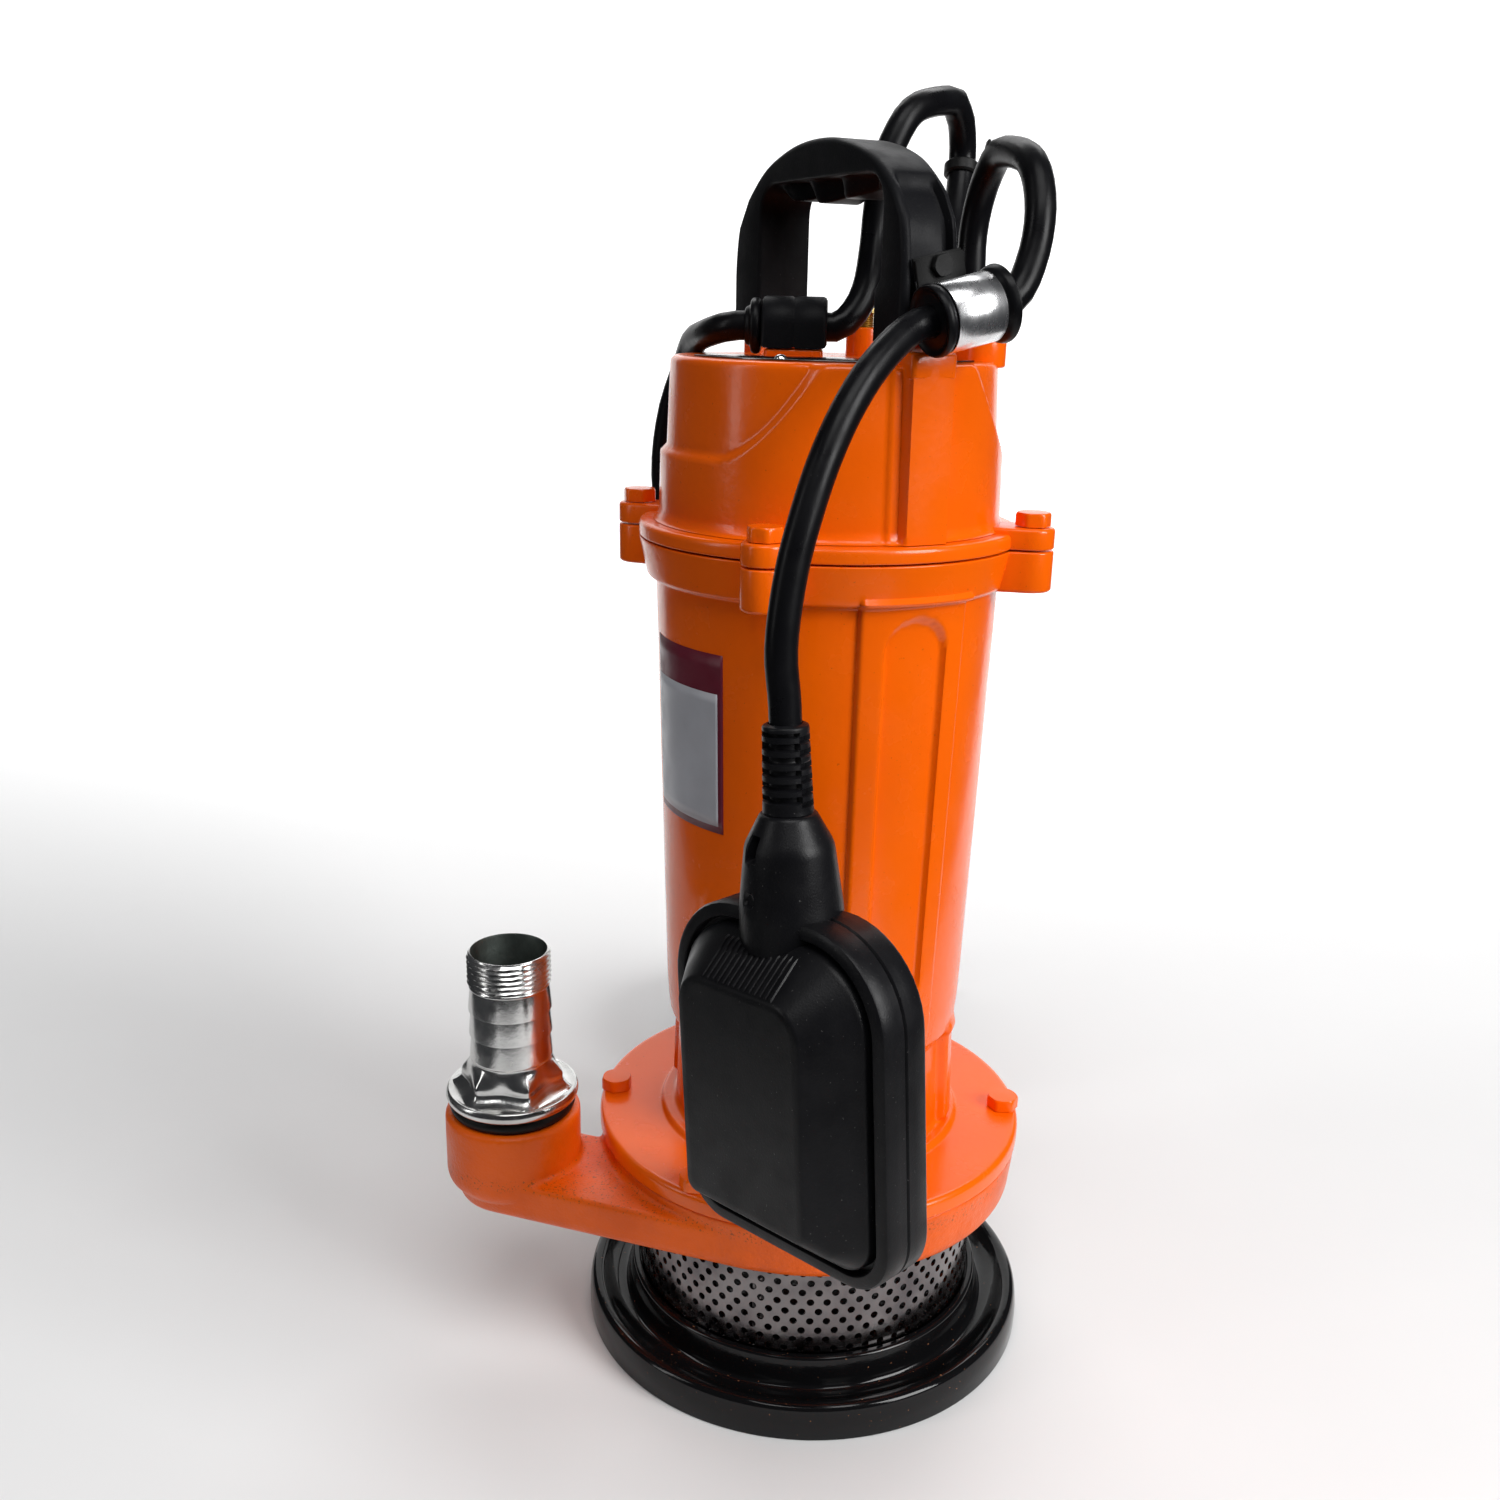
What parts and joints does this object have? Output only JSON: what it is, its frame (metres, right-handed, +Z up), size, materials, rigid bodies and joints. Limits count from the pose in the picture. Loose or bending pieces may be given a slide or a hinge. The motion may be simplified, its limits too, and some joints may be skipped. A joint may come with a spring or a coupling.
{
  "type": "submersible sump pump",
  "caption": "Orange submersible sump pump on a black foot with a perforated strainer, side hose fitting, carry handle and a black float switch on a cord.",
  "frame": {"origin": "centre of the foot's flat underside, on the shaft axis", "axes": "+Z up along the shaft, -X along the discharge arm, +Y to the rear where the cord coil lies"},
  "size_m": [0.1945, 0.4369, 0.4263],
  "materials": {
    "orange_enamel": "gloss orange enamel over a cast skin",
    "black_enamel": "high-gloss black enamel on pressed steel",
    "black_plastic": "satin moulded plastic",
    "black_rubber": "smooth black rubber",
    "stainless_steel": "rolled stainless steel",
    "chrome": "bright plating",
    "zinc_plate": "zinc plated steel",
    "yellow_zinc": "yellow zinc plated steel",
    "cast_iron": "plain cast iron",
    "copper_wire": "enamelled copper wire",
    "ceramic": "ground ceramic"
  },
  "bodies": {
    "pump": {"volute_casing": "orange_enamel", "motor_casing": "orange_enamel", "top_cover": "orange_enamel", "cover_bolt_1": "orange_enamel", "cover_bolt_2": "orange_enamel", "cover_bolt_3": "orange_enamel", "cover_bolt_4": "orange_enamel", "flange_bolt_1": "orange_enamel", "flange_bolt_2": "orange_enamel", "flange_bolt_3": "orange_enamel", "flange_bolt_4": "orange_enamel", "flange_bolt_5": "orange_enamel", "flange_bolt_6": "orange_enamel", "base_foot": "black_enamel", "carry_handle": "black_plastic", "cord_saddle": "black_plastic", "mains_plug": "black_plastic", "capacitor": "black_plastic", "power_cord_upper": "black_rubber", "power_cord_lower": "black_rubber", "cord_coil": "black_rubber", "float_cord_upper": "black_rubber", "saddle_sleeve": "black_rubber", "clamp_sleeve": "black_rubber", "gland_bushing": "black_rubber", "fitting_gasket": "black_rubber", "cover_gasket": "black_rubber", "strainer": "stainless_steel", "foot_stay_1": "stainless_steel", "foot_stay_2": "stainless_steel", "foot_stay_3": "stainless_steel", "lower_bearing": "stainless_steel", "upper_bearing": "stainless_steel", "clamp_screw": "stainless_steel", "hose_fitting": "chrome", "clamp_band": "chrome", "handle_bolt_1": "zinc_plate", "handle_bolt_2": "zinc_plate", "gland_bolt_1": "zinc_plate", "gland_bolt_2": "zinc_plate", "gland_plate": "zinc_plate", "oil_plug": "yellow_zinc", "suction_plate": "cast_iron", "seal_plate": "cast_iron", "stator_core": "cast_iron", "stator_winding": "copper_wire", "seal_seat": "ceramic"},
    "rotor": {"shaft": "stainless_steel", "rotor_core": "cast_iron", "impeller": "cast_iron", "impeller_nut": "stainless_steel", "seal_ring": "stainless_steel"},
    "float": {"float_front_shell": "black_plastic", "float_rear_shell": "black_plastic", "float_neck": "black_plastic", "float_strain_relief": "black_plastic", "microswitch": "black_plastic", "float_cord_lower": "black_rubber"},
    "ball": {"switch_ball": "stainless_steel"},
    "lever": {"switch_lever": "stainless_steel"}
  },
  "joints": [
    {"name": "rotor_spin", "type": "hinge", "parent": "pump", "child": "rotor", "pos_m": [0, 0, 0.15], "axis": [0, 0, 1], "continuous": true},
    {"name": "float_swing", "type": "hinge", "parent": "pump", "child": "float", "pos_m": [0.04114, -0.05008, 0.35513], "axis": [-0.9577, 0.2879, 0], "range_deg": [0, 110], "deforming": ["float_cord_lower"]},
    {"name": "ball_roll", "type": "slide", "parent": "float", "child": "ball", "axis": [-0.0725, 0.0382, 0.9966], "range_m": [0, 0.028]},
    {"name": "lever_tilt", "type": "hinge", "parent": "float", "child": "lever", "pos_m": [0.02943, -0.0951, 0.15665], "axis": [0.8816, -0.4648, 0.0819], "range_deg": [0, 8]}
  ],
  "couplings": [
    {"joint": "lever_tilt", "follows": "ball_roll", "rad_per_m": 4.98}
  ]
}
